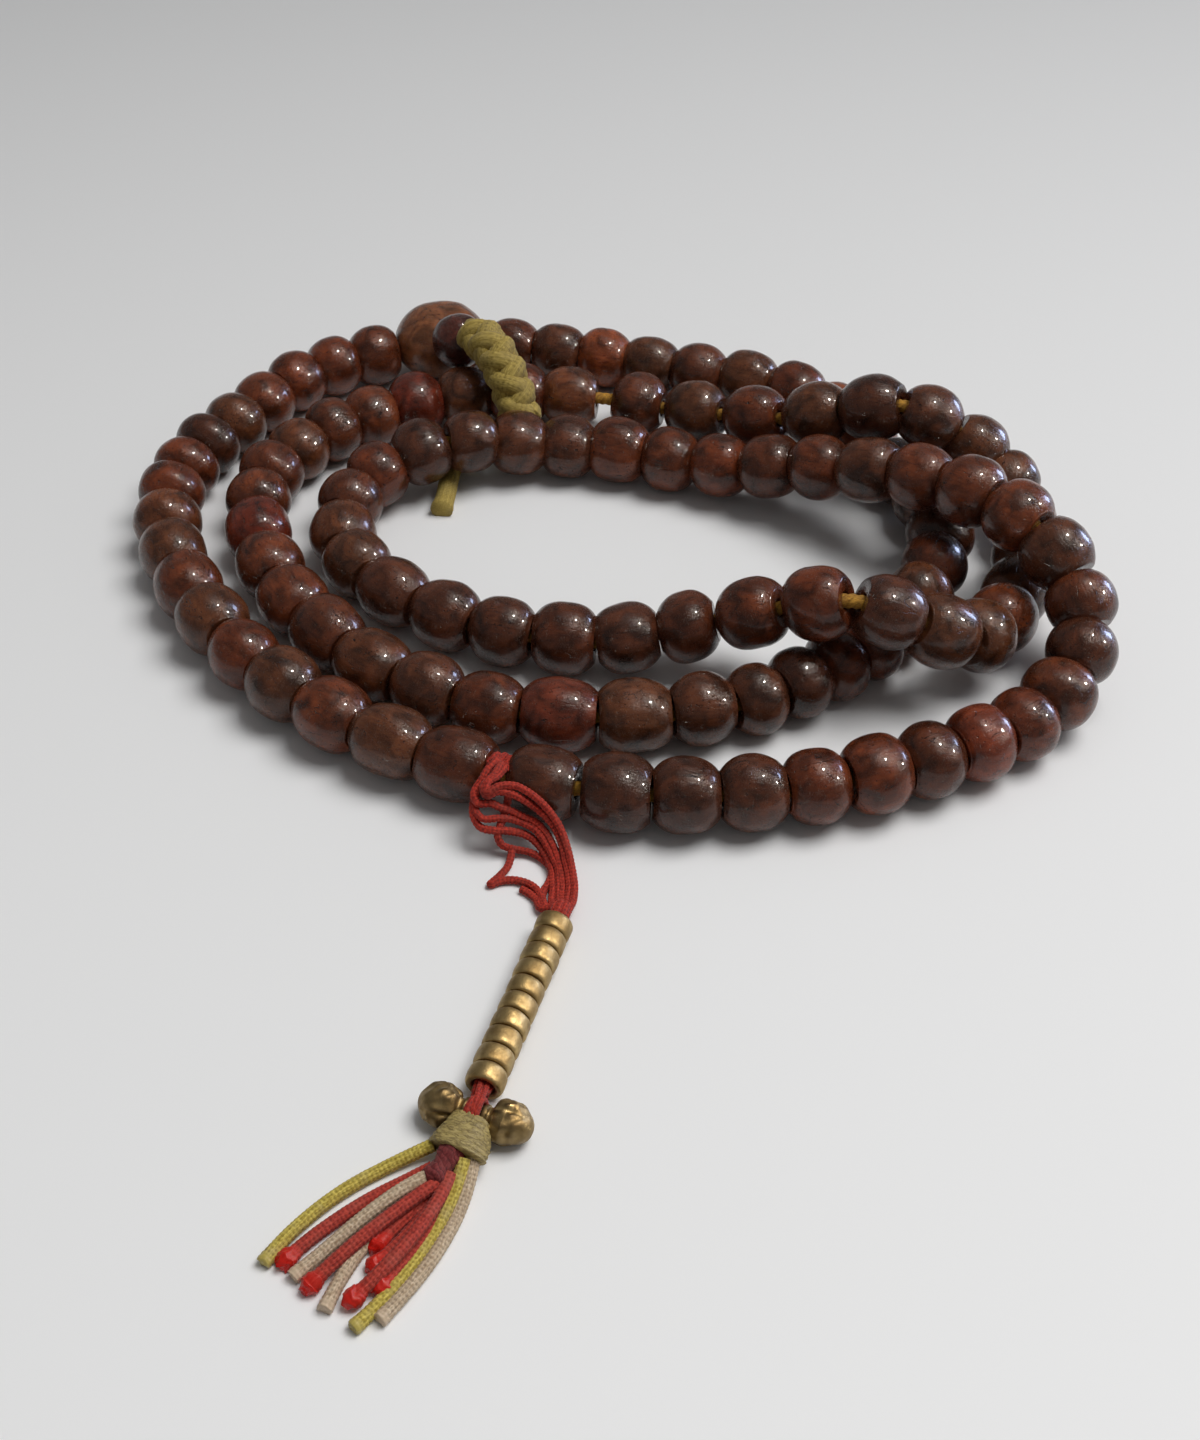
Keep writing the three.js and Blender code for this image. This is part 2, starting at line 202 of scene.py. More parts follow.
RED_SWEEP = {
    "A": [
        (-0.0138, -0.003, 0.008), (-0.0123, -0.0024, 0.0084), (-0.0104, -0.0022, 0.0082),
        (-0.0089, -0.0028, 0.0078), (-0.0074, -0.0036, 0.007), (-0.0059, -0.0044, 0.0054),
        (-0.0048, -0.0058, 0.0042), (-0.004, -0.0078, 0.0031), (-0.0035, -0.0099, 0.0023),
        (-0.0031, -0.0126, 0.0017), (-0.0032, -0.0149, 0.0016),
    ],
    "B": [
        (-0.0139, -0.0031, 0.0074), (-0.0123, -0.0027, 0.0078), (-0.0108, -0.0028, 0.0074),
        (-0.0095, -0.0032, 0.0069), (-0.008, -0.0037, 0.006), (-0.0065, -0.0044, 0.0048),
        (-0.0054, -0.0055, 0.0038), (-0.0047, -0.0071, 0.0029), (-0.0042, -0.0092, 0.0021),
        (-0.0037, -0.0124, 0.0015), (-0.004, -0.0153, 0.0015),
    ],
    "C": [
        (-0.015, -0.0032, 0.0062), (-0.0135, -0.0032, 0.0062), (-0.0123, -0.0035, 0.0058),
        (-0.0109, -0.0036, 0.0052), (-0.0095, -0.0039, 0.0045), (-0.008, -0.0042, 0.0039),
        (-0.0068, -0.0051, 0.0031), (-0.0058, -0.0067, 0.0024), (-0.0049, -0.0093, 0.0016),
        (-0.0045, -0.0122, 0.0012), (-0.0046, -0.0151, 0.0013),
    ],
    "D": [
        (-0.0145, -0.0046, 0.005), (-0.0123, -0.0044, 0.0048), (-0.0109, -0.0042, 0.0044),
        (-0.0093, -0.0044, 0.0038), (-0.008, -0.0049, 0.0032), (-0.0068, -0.0062, 0.0024),
        (-0.0059, -0.0078, 0.0018), (-0.0051, -0.0098, 0.0013), (-0.005, -0.0128, 0.001),
        (-0.005, -0.0154, 0.0012),
    ],
    "E": [
        (-0.0148, -0.0051, 0.004), (-0.0133, -0.0055, 0.0038), (-0.0117, -0.0052, 0.0034),
        (-0.0099, -0.005, 0.0028), (-0.0085, -0.0053, 0.0022), (-0.0073, -0.0064, 0.0016),
        (-0.0065, -0.0077, 0.0012), (-0.0059, -0.0094, 0.0009), (-0.0057, -0.0123, 0.0008),
        (-0.0058, -0.0149, 0.001),
    ],
    "F": [
        (-0.0126, -0.0057, 0.003), (-0.0121, -0.0061, 0.0018), (-0.0108, -0.0062, 0.0012),
        (-0.0087, -0.0064, 0.0008), (-0.0068, -0.0077, 0.0006), (-0.0059, -0.0092, 0.0005),
        (-0.0062, -0.011, 0.0005), (-0.0069, -0.0128, 0.0006), (-0.0068, -0.0151, 0.0009),
    ],
    "G": [
        (-0.0109, -0.0061, 0.0016), (-0.011, -0.0071, 0.0009), (-0.0114, -0.0086, 0.0005),
        (-0.0124, -0.0102, 0.0005), (-0.0134, -0.0115, 0.0005), (-0.0122, -0.011, 0.0006),
        (-0.0107, -0.0108, 0.0006), (-0.0094, -0.0111, 0.0006), (-0.0081, -0.012, 0.0007),
        (-0.0071, -0.0136, 0.0008), (-0.0065, -0.0156, 0.0011),
    ],
    "H": [
        (-0.0096, -0.0122, 0.0005), (-0.0087, -0.0128, 0.0005), (-0.0077, -0.0139, 0.0006),
        (-0.0071, -0.0156, 0.0009),
    ],
}
# Each red strand's turn over the string: distance along the string and out from its middle.
RED_TURNS = {
    "A": (-0.00047, 0.0015), "C": (0.00047, 0.0015), "B": (0.00005, 0.0023),
    "D": (-0.0009, 0.0022), "E": (-0.0014, 0.0019), "F": (0.00095, 0.0022),
}
RED_FOLDS = {
    "A": [(-0.0119, 0.0014, 0.0079), (-0.0127, -0.0006, 0.0082), (-0.0138, -0.0018, 0.0083)],
    "B": [(-0.0124, 0.0013, 0.0084), (-0.0131, -0.0004, 0.0083), (-0.0143, -0.002, 0.0079)],
    "C": [(-0.0134, 0.0018, 0.0079), (-0.0147, -0.0004, 0.0074), (-0.0156, -0.002, 0.0066)],
    "D": [(-0.0128, 0.0022, 0.0084), (-0.0141, 0.0003, 0.0081), (-0.0155, -0.0028, 0.0056)],
    "E": [(-0.0135, 0.0022, 0.0073), (-0.0153, -0.001, 0.0063), (-0.0157, -0.0036, 0.0049)],
    "F": [(-0.0112, 0.0014, 0.0076), (-0.0111, -0.0006, 0.0066), (-0.0118, -0.0036, 0.0048)],
}
RED_BIGHTS = (("A", "C"), ("B", "D"), ("E", "F"))
# Each red strand at the vajra's waist: millimetres sideways, and 1 over the waist or -1 under it.
ACROSS_WAIST = {
    "A": (-0.5, 1), "B": (0.5, 1), "C": (0.0, 1), "D": (-0.9, -1),
    "E": (0.0, -1), "F": (0.9, -1), "G": (-0.45, -1), "H": (0.45, -1),
}
# Painted light falloff: the floor is coloured brighter near the camera and darker towards the back,
# instead of lamps lighting it that way.
FLOOR_NEAR_PAINTED_LIGHT = (0.93, 0.93, 0.93)
FLOOR_FAR_PAINTED_SHADE = (0.62, 0.622, 0.624)
FLOOR_PAINTED_FALLOFF = (-0.12, 0.25)
BEAD_TINTS = (
    (0.120, 0.036, 0.016), (0.096, 0.031, 0.015), (0.090, 0.034, 0.018), (0.122, 0.045, 0.021),
    (0.074, 0.027, 0.015), (0.138, 0.038, 0.016), (0.106, 0.043, 0.022),
)
SPECIAL_TINTS = {
    74: (0.14, 0.027, 0.014), 80: (0.13, 0.026, 0.014), 87: (0.115, 0.028, 0.015),
    25: (0.145, 0.036, 0.018), 26: (0.14, 0.040, 0.020), 106: (0.21, 0.062, 0.026),
    101: (0.19, 0.062, 0.030),
}
CAMERA_PLACE = np.array((0, -0.15, 0.1556))
CAMERA_TILT = math.radians(47.3)
CAMERA_SENSOR = 24
CAMERA_LENS = 28.33
LIT_POINT = np.array((0, 0.04, 0))
FLOOR_SIDE = 6
SKY_STRENGTH = 0.17


# ---- Lines ----
def unit(v):
    return np.asarray(v, float) / np.linalg.norm(v)


def route_slope(index):
    """Slope of the string's route at one of its rows, per bead passed."""
    knots = [row[0] for row in ROUTE]
    places = [np.array(row[1:]) for row in ROUTE]
    if index == 0:
        return (places[1] - places[0]) / (knots[1] - knots[0])
    if index == len(ROUTE) - 1:
        return (places[-1] - places[-2]) / (knots[-1] - knots[-2])
    before = knots[index] - knots[index - 1]
    after = knots[index + 1] - knots[index]
    rise_after = (places[index + 1] - places[index]) / after
    rise_before = (places[index] - places[index - 1]) / before
    return (rise_after * before + rise_before * after) / (before + after)


def string_point(passed):
    """The string's middle where that many beads have been passed."""
    index = 0
    while index < len(ROUTE) - 2 and ROUTE[index + 1][0] <= passed:
        index += 1
    start, end = ROUTE[index], ROUTE[index + 1]
    span = end[0] - start[0]
    t = (passed - start[0]) / span
    place = np.array(start[1:]) * (2 * t**3 - 3 * t**2 + 1) + np.array(end[1:]) * (3 * t**2 - 2 * t**3)
    place = place + route_slope(index) * span * (t**3 - 2 * t**2 + t)
    place = place + route_slope(index + 1) * span * (t**3 - t**2)
    place[2] = max(place[2], 5 * MM)
    return place + ORIGIN


def bead_ends(bead):
    return string_point(bead - 1 + SLACK.get(bead - 1, 0)), string_point(bead - SLACK.get(bead, 0))


def resample(line, step):
    """The same line with points evenly spaced, about step apart."""
    line = np.array(line, float)
    run = np.concatenate([[0], np.cumsum(np.linalg.norm(np.diff(line, axis=0), axis=1))])
    count = max(4, round(run[-1] / step) + 1)
    places = np.linspace(0, run[-1], count)
    return np.stack([np.interp(places, run, line[:, k]) for k in range(3)], axis=1)


def smooth(route, step):
    """A centripetal curve through the route's points, in the CAD frame."""
    points = np.array(route, float)
    points = np.vstack([2 * points[0] - points[1], points, 2 * points[-1] - points[-2]])
    line = []
    for p0, p1, p2, p3 in zip(points, points[1:], points[2:], points[3:]):
        k = np.cumsum([0] + [math.sqrt(np.linalg.norm(b - a)) for a, b in ((p0, p1), (p1, p2), (p2, p3))])
        t = np.linspace(k[1], k[2], 12, endpoint=False)[:, None]
        a1 = (k[1] - t) / (k[1] - k[0]) * p0 + (t - k[0]) / (k[1] - k[0]) * p1
        a2 = (k[2] - t) / (k[2] - k[1]) * p1 + (t - k[1]) / (k[2] - k[1]) * p2
        a3 = (k[3] - t) / (k[3] - k[2]) * p2 + (t - k[2]) / (k[3] - k[2]) * p3
        b1 = (k[2] - t) / (k[2] - k[0]) * a1 + (t - k[0]) / (k[2] - k[0]) * a2
        b2 = (k[3] - t) / (k[3] - k[1]) * a2 + (t - k[1]) / (k[3] - k[1]) * a3
        line.extend((k[2] - t) / (k[2] - k[1]) * b1 + (t - k[1]) / (k[2] - k[1]) * b2)
    line.append(points[-2])
    return resample(line, step) + ORIGIN


def eased(route, step):
    """The gentlest cubic that follows a route, for a springy cord that doesn't bend sharply."""
    points = np.array(route, float)
    run = np.concatenate([[0], np.cumsum(np.linalg.norm(np.diff(points, axis=0), axis=1))])
    fine = np.linspace(0, run[-1], 80)
    columns = [np.polyval(np.polyfit(run, points[:, k], 3 if k == 2 else 2), fine) for k in range(3)]
    line = np.stack(columns, axis=1)
    line[:, 2] = np.maximum(line[:, 2], TASSEL_RADIUS)
    return resample(line, step) + ORIGIN


def carried(line):
    """Tangent, side and up along a line, carried from its start without twisting."""
    tangent = np.gradient(line, axis=0)
    tangent /= np.linalg.norm(tangent, axis=1)[:, None]
    side = np.cross(tangent[0], (0, 0, 1) if abs(tangent[0][2]) < 0.9 else (0, 1, 0))
    sides = []
    for t in tangent:
        side = unit(side - t * (side @ t))
        sides.append(side)
    sides = np.array(sides)
    return tangent, sides, np.cross(sides, tangent)


# ---- Mesh parts ----
# A part is (vertices, faces, lay in millimetres, tip and hollow), hollow being 1 between the threads,
# where thread() paints shade.
def tube(line, radius, sides, relief=None, tip=None, flat=1.0, lay_shift=0.0):
    """A closed tube along a line. relief(turn, distance) scales its radius; flat squashes it upright."""
    count = len(line)
    _, side, up = carried(line)
    run = np.concatenate([[0], np.cumsum(np.linalg.norm(np.diff(line, axis=0), axis=1))])[:, None]
    turn = np.linspace(0, 2 * math.pi, sides, endpoint=False)[None, :]
    reach = np.broadcast_to(np.reshape(radius, (-1, 1)), (count, 1)) * np.ones((1, sides))
    hollow = np.zeros((count, sides))
    if relief is not None:
        shape = relief(turn, run) * np.ones((count, sides))
        reach = reach * shape
        hollow = (shape.max() - shape) / (shape.max() - shape.min())
    offset = side[:, None] * (reach * np.cos(turn))[..., None]
    offset = offset + up[:, None] * (reach * np.sin(turn))[..., None]
    offset[..., 2] *= flat
    rows = line[:, None] + offset
    vertices = np.vstack([rows.reshape(-1, 3), line[:1], line[-1:]])
    lay = np.stack([reach * np.cos(turn), reach * np.sin(turn), run + 0 * turn], axis=-1).reshape(-1, 3)
    lay = np.vstack([lay, (0, 0, 0), (0, 0, run[-1, 0])]) / MM + lay_shift
    faces = []
    for row in range(count - 1):
        for k in range(sides):
            n = (k + 1) % sides
            faces.append((row * sides + k, row * sides + n, (row + 1) * sides + n, (row + 1) * sides + k))
    first, last = count * sides, count * sides + 1
    for k in range(sides):
        n = (k + 1) % sides
        faces.append((first, n, k))
        faces.append((last, (count - 1) * sides + k, (count - 1) * sides + n))
    marks = np.zeros((len(vertices), 2))
    marks[:-2, 1] = hollow.ravel()
    if tip is not None:
        marks[:, 0] = np.append(np.repeat(tip, sides), (tip[0], tip[-1]))
    return vertices, faces, lay, marks


def lathe(outline, sides):
    """Turns a closed outline of (along, radius) round the X axis into a ring-shaped part."""
    outline = np.array(outline, float)
    rows = len(outline)
    turn = np.linspace(0, 2 * math.pi, sides, endpoint=False)
    vertices = np.stack([
        np.repeat(outline[:, 0], sides),
        np.outer(outline[:, 1], np.cos(turn)).ravel(),
        np.outer(outline[:, 1], np.sin(turn)).ravel(),
    ], axis=1)
    faces = []
    for row in range(rows):
        below = (row + 1) % rows
        for k in range(sides):
            n = (k + 1) % sides
            faces.append((row * sides + k, below * sides + k, below * sides + n, row * sides + n))
    return vertices, faces, vertices / MM, np.zeros((len(vertices), 2))


def wobble(points, rng, size, depth, waves=7):
    """A smooth random height over the points, from a few waves about size long."""
    height = np.zeros(len(points))
    for _ in range(waves):
        direction = rng.normal(size=3)
        direction *= 2 * math.pi / size / np.linalg.norm(direction) * rng.uniform(0.6, 1.4)
        height += np.sin(points @ direction + rng.uniform(0, 2 * math.pi))
    return height * depth / math.sqrt(waves)


def turned(direction, roll=0.0):
    """The rotation that takes X to a direction, after a roll about X."""
    x = unit(direction)
    y = unit(np.cross((0, 0, 1) if abs(x[2]) < 0.9 else (0, 1, 0), x))
    z = np.cross(x, y)
    c, s = math.cos(roll), math.sin(roll)
    return np.stack([x, y * c + z * s, z * c - y * s], axis=1)


def place(part, direction, middle, roll=0.0):
    vertices, faces, lay, tips = part
    return vertices @ turned(direction, roll).T + middle, faces, lay, tips


def piece(name, parts, material, replaced, body="strand", tint=(1, 1, 1)):
    """One object from its parts, riding a CAD body and standing for CAD nodes."""
    vertices, faces, lay, tips, first = [], [], [], [], 0
    for points, quads, place_in_lay, tip in parts:
        vertices.append(points)
        lay.append(place_in_lay)
        tips.append(tip)
        faces.extend(tuple(i + first for i in face) for face in quads)
        first += len(points)
    mesh = bpy.data.meshes.new(name)
    mesh.from_pydata(np.vstack(vertices).tolist(), [], faces)
    mesh.shade_smooth()
    layer = mesh.attributes.new("lay", "FLOAT_VECTOR", "POINT")
    layer.data.foreach_set("vector", np.vstack(lay).astype(np.float32).ravel())
    for column, mark in enumerate(("tip", "hollow")):
        layer = mesh.attributes.new(mark, "FLOAT", "POINT")
        layer.data.foreach_set("value", np.vstack(tips)[:, column].astype(np.float32))
    mesh.materials.append(material)
    made = bpy.data.objects.new(name, mesh)
    made.color = (*tint, 1)
    bpy.context.scene.collection.objects.link(made)
    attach(made, body)
    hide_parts(*replaced)
    return made


# ---- Materials ----
def node(tree, kind, sockets=None, **settings):
    made = tree.nodes.new(kind)
    for key, value in settings.items():
        setattr(made, key, value)
    for socket, value in (sockets or {}).items():
        if isinstance(value, bpy.types.NodeSocket):
            tree.links.new(value, made.inputs[socket])
        else:
            made.inputs[socket].default_value = value
    return made


def start_material(name, **shader):
    material = bpy.data.materials.new(name)
    material.use_nodes = True
    tree = material.node_tree
    surface = tree.nodes["Principled BSDF"]
    for socket, value in shader.items():
        surface.inputs[socket.replace("_", " ")].default_value = value
    return material, tree, surface


def lay_at(tree, stretch=(1, 1, 1)):
    """The piece's own coordinates in millimetres, stretched."""
    lay = node(tree, "ShaderNodeAttribute", attribute_name="lay").outputs["Vector"]
    if stretch == (1, 1, 1):
        return lay
    return node(tree, "ShaderNodeVectorMath", {0: lay, 1: stretch}, operation="MULTIPLY").outputs["Vector"]


def speckle(tree, where, scale, detail=4.0, distortion=0.0):
    sockets = {"Vector": where, "Scale": scale, "Detail": detail, "Distortion": distortion}
    return node(tree, "ShaderNodeTexNoise", sockets).outputs["Fac"]


def remap(tree, value, low, high, to_low=0.0, to_high=1.0):
    sockets = {"Value": value, "From Min": low, "From Max": high, "To Min": to_low, "To Max": to_high}
    return node(tree, "ShaderNodeMapRange", sockets).outputs["Result"]


def math_node(tree, operation, a, b=0.0):
    return node(tree, "ShaderNodeMath", {0: a, 1: b}, operation=operation).outputs[0]


def mix(tree, factor, a, b, blend="MIX"):
    sockets = {"Factor": factor, "A": a, "B": b}
    made = node(tree, "ShaderNodeMix", data_type="RGBA", blend_type=blend)
    for name, socket in (("Factor", 0), ("A", 6), ("B", 7)):
        value = sockets[name]
        if isinstance(value, bpy.types.NodeSocket):
            tree.links.new(value, made.inputs[socket])
        else:
            made.inputs[socket].default_value = value
    return made.outputs[2]


def bump(tree, surface, height, depth, strength=1.0):
    made = node(tree, "ShaderNodeBump", {"Height": height, "Distance": depth, "Strength": strength})
    tree.links.new(made.outputs["Normal"], surface.inputs["Normal"])


def shade(value):
    return (*value, 1)


def wood(name, smear, rough=(0.13, 0.27)):
    """Dark turned wood polished by handling: patina, axial grain, pits, hairline cracks and scratches."""
    polish = {"IOR": 1.5, "Specular_IOR_Level": 0.22, "Coat_Weight": 0.4, "Coat_Roughness": 0.04}
    material, tree, surface = start_material(name, **polish)
    tint = node(tree, "ShaderNodeObjectInfo").outputs["Color"]
    patina = speckle(tree, lay_at(tree), 0.34, 5, 0.6)
    grain = speckle(tree, lay_at(tree, (0.22, 1, 1)), 2.4, 5, 0.4)
    fine = speckle(tree, lay_at(tree), 7.0, 4)
    pits = node(tree, "ShaderNodeTexVoronoi", {"Vector": lay_at(tree), "Scale": 1.5}).outputs["Distance"]
    pit = math_node(tree, "MULTIPLY", remap(tree, pits, 0.2, 0.09), remap(tree, patina, 0.48, 0.56))
    bent = node(tree, "ShaderNodeVectorMath", {0: lay_at(tree, (0.32, 1, 1)), 1: (0.6, 0.6, 0.6)},
                operation="MULTIPLY").outputs["Vector"]
    wavy = speckle(tree, bent, 0.8, 3, 0.3)
    crack = remap(tree, math_node(tree, "ABSOLUTE", math_node(tree, "SUBTRACT", wavy, 0.5)), 0.0045, 0.001)
    cracked = remap(tree, speckle(tree, lay_at(tree), 0.5, 1), 0.46, 0.52)
    crack = math_node(tree, "MULTIPLY", crack, cracked)
    across = speckle(tree, lay_at(tree, (3.2, 0.5, 0.5)), 1.4, 3, 0.8)
    off_middle = math_node(tree, "ABSOLUTE", math_node(tree, "SUBTRACT", across, 0.5))
    scratch = remap(tree, off_middle, 0.012, 0.002)
    patchy = remap(tree, speckle(tree, lay_at(tree), 0.7, 2), 0.52, 0.6)
    scratch = math_node(tree, "MULTIPLY", scratch, patchy)
    patches = remap(tree, patina, 0.34, 0.66)
    colour = mix(tree, patches, shade((0.5, 0.43, 0.36)), shade((1.95, 1.62, 1.3)))
    colour = mix(tree, remap(tree, grain, 0.35, 0.7), colour, shade(smear), "MULTIPLY")
    colour = mix(tree, 1.0, tint, colour, "MULTIPLY")
    dust = mix(tree, remap(tree, fine, 0.55, 0.75, 0, 0.16), colour, shade((0.16, 0.085, 0.05)))
    # Cracks and pits are coloured near black.
    cracks_and_pits_darkened = mix(tree, math_node(tree, "MAXIMUM", crack, math_node(tree, "MULTIPLY", pit, 0.7)), dust,
               shade((0.012, 0.007, 0.006)))
    pale = mix(tree, math_node(tree, "MULTIPLY", scratch, 0.5), cracks_and_pits_darkened, shade((0.3, 0.2, 0.15)))
    tree.links.new(pale, surface.inputs["Base Color"])
    worn_gloss = remap(tree, fine, 0.35, 0.7, *rough)
    gloss = math_node(tree, "ADD", remap(tree, grain, 0.3, 0.7, 0, 0.1), worn_gloss)
    tree.links.new(gloss, surface.inputs["Roughness"])
    ridges = math_node(tree, "MULTIPLY", grain, 0.3)
    relief = math_node(tree, "ADD", math_node(tree, "MULTIPLY", fine, 0.22), ridges)
    relief = math_node(tree, "SUBTRACT", relief, math_node(tree, "MULTIPLY", crack, 0.8))
    relief = math_node(tree, "SUBTRACT", relief, math_node(tree, "MULTIPLY", pit, 0.5))
    relief = math_node(tree, "SUBTRACT", relief, math_node(tree, "MULTIPLY", scratch, 0.2))
    bump(tree, surface, relief, 0.2 * MM, 1.0)
    return material


def thread(name, low, high, melted=None, rough=0.8, grime=(0.3, 0.24, 0.16)):
    """Worn textile cord: fibres along the lay, faded patches, grime, painted shade in the grooves between
    threads, and melted ends where tip is 1.
    """
    fibres = {"Sheen_Weight": 0.08, "Sheen_Roughness": 0.4, "IOR": 1.45, "Specular_IOR_Level": 0.3}
    material, tree, surface = start_material(name, **fibres)
    fibre = speckle(tree, lay_at(tree, (2.4, 2.4, 0.7)), 2.6, 5)
    faded = speckle(tree, lay_at(tree), 0.42, 4, 0.4)
    colour = mix(tree, remap(tree, fibre, 0.34, 0.68), shade(low), shade(high))
    colour = mix(tree, remap(tree, faded, 0.5, 0.72, 0, 0.55), colour, shade(grime))
    # Painted shade in the grooves between the threads: the colour darkens towards 0.35 of the low colour
    # where hollow is 1.
    hollow = node(tree, "ShaderNodeAttribute", attribute_name="hollow").outputs["Fac"]
    colour = mix(tree, remap(tree, hollow, 0.45, 1.0, 0, 0.62), colour, shade([c * 0.35 for c in low]))
    relief = fibre
    roughness = remap(tree, fibre, 0.3, 0.7, rough - 0.1, rough + 0.1)
    if melted is not None:
        tip = node(tree, "ShaderNodeAttribute", attribute_name="tip").outputs["Fac"]
        colour = mix(tree, tip, colour, shade(melted))
        roughness = math_node(tree, "SUBTRACT", roughness, math_node(tree, "MULTIPLY", tip, 0.52))
        unmelted = math_node(tree, "SUBTRACT", 1.0, math_node(tree, "MULTIPLY", tip, 0.8))
        relief = math_node(tree, "MULTIPLY", fibre, unmelted)
    tree.links.new(colour, surface.inputs["Base Color"])
    tree.links.new(roughness, surface.inputs["Roughness"])
    bump(tree, surface, relief, 0.1 * MM, 0.8)
    return material


def brass(name):
    """Aged brass: rubbed bright on the high places, brown in the low ones, with dents and scratches."""
    material, tree, surface = start_material(name, Metallic=0.9)
    patina = speckle(tree, lay_at(tree), 0.55, 6, 0.5)
    fine = speckle(tree, lay_at(tree), 3.4, 5)
    scratches = speckle(tree, lay_at(tree), 2.2, 5, 1.4)
    rubbed = node(tree, "ShaderNodeNewGeometry").outputs["Pointiness"]
    edge = remap(tree, rubbed, 0.46, 0.53)
    rubbed_bright = remap(tree, patina, 0.36, 0.64)
    colour = mix(tree, rubbed_bright, shade((0.28, 0.19, 0.075)), shade((0.47, 0.345, 0.155)))
    colour = mix(tree, edge, shade((0.10, 0.065, 0.03)), colour)
    colour = mix(tree, remap(tree, fine, 0.56, 0.74, 0, 0.45), colour, shade((0.16, 0.11, 0.05)))
    tree.links.new(colour, surface.inputs["Base Color"])
    scuffs = remap(tree, scratches, 0.4, 0.7, 0, 0.1)
    rough = math_node(tree, "ADD", remap(tree, patina, 0.3, 0.7, 0.52, 0.38), scuffs)
    tree.links.new(rough, surface.inputs["Roughness"])
    scored = math_node(tree, "MULTIPLY", scratches, 0.4)
    relief = math_node(tree, "ADD", math_node(tree, "MULTIPLY", fine, 0.5), scored)
    bump(tree, surface, relief, 0.07 * MM, 0.8)
    return material


def waxed(name):
    material, tree, surface = start_material(name, IOR=1.45, Coat_Weight=0.1, Coat_Roughness=0.4)
    crease = speckle(tree, lay_at(tree, (1, 1, 3.2)), 1.1, 6, 1.2)
    fine = speckle(tree, lay_at(tree), 5.0, 4)
    # The thread is darker in the low places of the crease relief and lighter on its high places.
    crease_tone = remap(tree, crease, 0.36, 0.62)
    colour = mix(tree, crease_tone, shade((0.17, 0.12, 0.036)), shade((0.42, 0.32, 0.11)))
    colour = mix(tree, remap(tree, fine, 0.5, 0.75, 0, 0.5), colour, shade((0.46, 0.37, 0.15)))
    tree.links.new(colour, surface.inputs["Base Color"])
    tree.links.new(remap(tree, fine, 0.3, 0.7, 0.5, 0.75), surface.inputs["Roughness"])
    relief = math_node(tree, "ADD", crease, math_node(tree, "MULTIPLY", fine, 0.3))
    bump(tree, surface, relief, 0.22 * MM, 0.9)
    return material


def pale_floor():
    material, tree, surface = start_material("pale_floor", Roughness=0.75, IOR=1.4)
    where = node(tree, "ShaderNodeTexCoord").outputs["Object"]
    cloud = speckle(tree, where, 3.0, 3)
    back = node(tree, "ShaderNodeSeparateXYZ", {"Vector": where}).outputs["Y"]
    # Painted light falloff: bright near the camera, fading to darker towards the back along Y.
    colour = mix(tree, remap(tree, back, *FLOOR_PAINTED_FALLOFF), shade(FLOOR_NEAR_PAINTED_LIGHT), shade(FLOOR_FAR_PAINTED_SHADE))
    colour = mix(tree, remap(tree, cloud, 0.3, 0.7, 0, 0.03), colour, shade((0.5, 0.5, 0.5)))
    tree.links.new(colour, surface.inputs["Base Color"])
    return material


# ---- Beads ----
def bead_outline(half, radius, face, power, rows):
    """A barrel's closed outline: round outside, cut flat at both ends, softened edges, and the bore."""
    reach = (half - EDGE_ROUND) / (1 - (face / radius) ** power) ** (1 / power)
    outside = []
    for along in (half - EDGE_ROUND) * np.sin(np.linspace(math.pi / 2, -math.pi / 2, rows)):
        outside.append((along, radius * (1 - abs(along / reach) ** power) ** (1 / power)))
    edge = [
        (half - EDGE_ROUND * 0.55, face - EDGE_ROUND * 0.25),
        (half - EDGE_ROUND * 0.12, face - EDGE_ROUND),
    ]
    flat = [(half, face - EDGE_ROUND * 2.2), (half - EDGE_ROUND * 0.6, BEAD_BORE + EDGE_ROUND * 2)]
    mouth = [(half - EDGE_ROUND * 1.6, BEAD_BORE + EDGE_ROUND * 0.4), (half - EDGE_ROUND * 3, BEAD_BORE)]
    near = edge + flat + mouth
    far = [(-along, r) for along, r in near]
    middle = [(-half * 0.3, BEAD_BORE), (half * 0.3, BEAD_BORE)]
    return outside + far + middle + near[::-1]


def worn(part, rng, radius, flats):
    """Pushes a bead's outside in and out: out of round, uneven, with a few rubbed flats and dents."""
    vertices, faces, lay, tips = part
    off_axis = np.linalg.norm(vertices[:, 1:], axis=1)
    weight = np.clip(off_axis / radius, 0, 1)
    change = wobble(vertices, rng, radius * 1.7, 0.00009) + wobble(vertices, rng, radius * 0.5, 0.00002)
    turn = np.arctan2(vertices[:, 2], vertices[:, 1])
    change += np.cos(2 * turn + rng.uniform(0, 6)) * rng.uniform(0.00003, 0.00012)
    directions = vertices / np.linalg.norm(vertices, axis=1)[:, None]
    for _ in range(flats):
        centre = unit(rng.normal(size=3) * (0.8, 1, 1))
        width = rng.uniform(0.16, 0.4)
        apart = np.linalg.norm(directions - centre, axis=1)
        change -= rng.uniform(0.00004, 0.00011) * np.exp(-((apart / width) ** 2))
    moved = vertices * (1 + (change * weight / np.maximum(off_axis, 0.001))[:, None] * (0.4, 1, 1))
    return moved, faces, lay, tips


def settled(part, middle_height):
    """Lets a bead that lies on the floor touch it."""
    vertices, faces, lay, tips = part
    if middle_height < FLOOR_BEAD_HEIGHT:
        vertices = vertices - (0, 0, vertices[:, 2].min() - 0.00002)
    return vertices, faces, lay, tips


def bead_node(bead):
    if bead in LOOSE_BEADS:
        return f"bead_{bead:03d}"
    first, last = next(run for run in RUNS if run[0] <= bead <= run[1])
    return f"beads_{first:03d}_to_{last:03d}"


